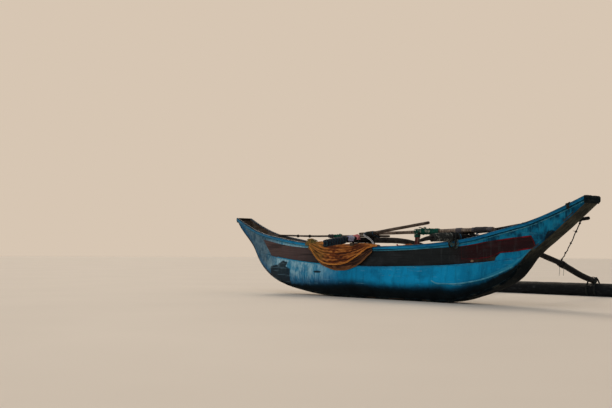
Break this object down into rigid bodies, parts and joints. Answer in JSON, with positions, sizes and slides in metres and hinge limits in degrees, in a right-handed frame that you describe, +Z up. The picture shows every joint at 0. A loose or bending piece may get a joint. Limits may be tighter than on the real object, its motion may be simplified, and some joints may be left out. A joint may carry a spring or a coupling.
{
  "type": "outrigger canoe, single float, beached",
  "caption": "Narrow double-ended fishing canoe with bulging hull, lashed booms, log float, stowed poles and a draped net, standing on a beach.",
  "frame": {"origin": "on the ground under the hull's centre line amidships, on the bottom plank's flat underside", "axes": "+X along the hull to the higher end (bow), +Y to the float, +Z up"},
  "size_m": [8.6908, 5.3799, 1.762],
  "materials": {
    "hull_blue": "worn blue boat paint over moulded hull, scuffed and streaked",
    "rail_blue": "brighter blue rail paint, chipped on the edge",
    "washstrake_paint": "dark brown to maroon painted board, sun-faded, red outline at the bow",
    "bottom_dark": "dark olive-brown tarred planks, scraped",
    "wood_dark": "weathered, nearly black round timber",
    "pole_wood": "grey-brown weathered poles",
    "bare_wood": "unpainted seat boards, dirty",
    "red_wood": "faded red paint",
    "rope_dark": "dark twisted rope",
    "rope_green": "green twisted rope",
    "net_cloth": "mustard-brown fine net in folds"
  },
  "bodies": {
    "root": {"side_shell_near_aft": "hull_blue", "side_shell_near_mid": "hull_blue", "side_shell_near_fore": "hull_blue", "side_shell_far_aft": "hull_blue", "side_shell_far_mid": "hull_blue", "side_shell_far_fore": "hull_blue", "stern_cap": "hull_blue", "rail_near": "rail_blue", "rail_far": "rail_blue", "ledge_strip_near": "rail_blue", "ledge_strip_far": "rail_blue", "bow_strake_near": "rail_blue", "bow_strake_far": "rail_blue", "washstrake_near": "washstrake_paint", "washstrake_far": "washstrake_paint", "bottom_plank_aft": "bottom_dark", "bottom_plank_mid": "bottom_dark", "bottom_plank_fore": "bottom_dark", "bow_stem_plank": "bottom_dark", "stern_stem_plank": "bottom_dark", "boom_fore": "wood_dark", "boom_aft": "wood_dark", "float_log": "wood_dark", "bow_pole": "wood_dark", "bow_cap": "wood_dark", "long_pole": "pole_wood", "mast_pole": "pole_wood", "sprit_pole": "pole_wood", "thwart_stern": "bare_wood", "thwart_aft": "bare_wood", "thwart_mast": "bare_wood", "thwart_bow": "bare_wood", "boom_seat_aft": "bare_wood", "crutch_post": "red_wood", "lashing_fore_near": "rope_dark", "lashing_fore_far": "rope_dark", "lashing_aft_far": "rope_dark", "lashing_aft_near": "rope_dark", "rope_serving_fore": "rope_dark", "float_lashing_fore": "rope_dark", "float_lashing_aft": "rope_dark", "pole_lashing_aft": "rope_dark", "pole_lashing_fore": "rope_dark", "bow_stay": "rope_dark", "mast_lashing_green": "rope_green", "net_drape": "net_cloth"}
  },
  "joints": []
}
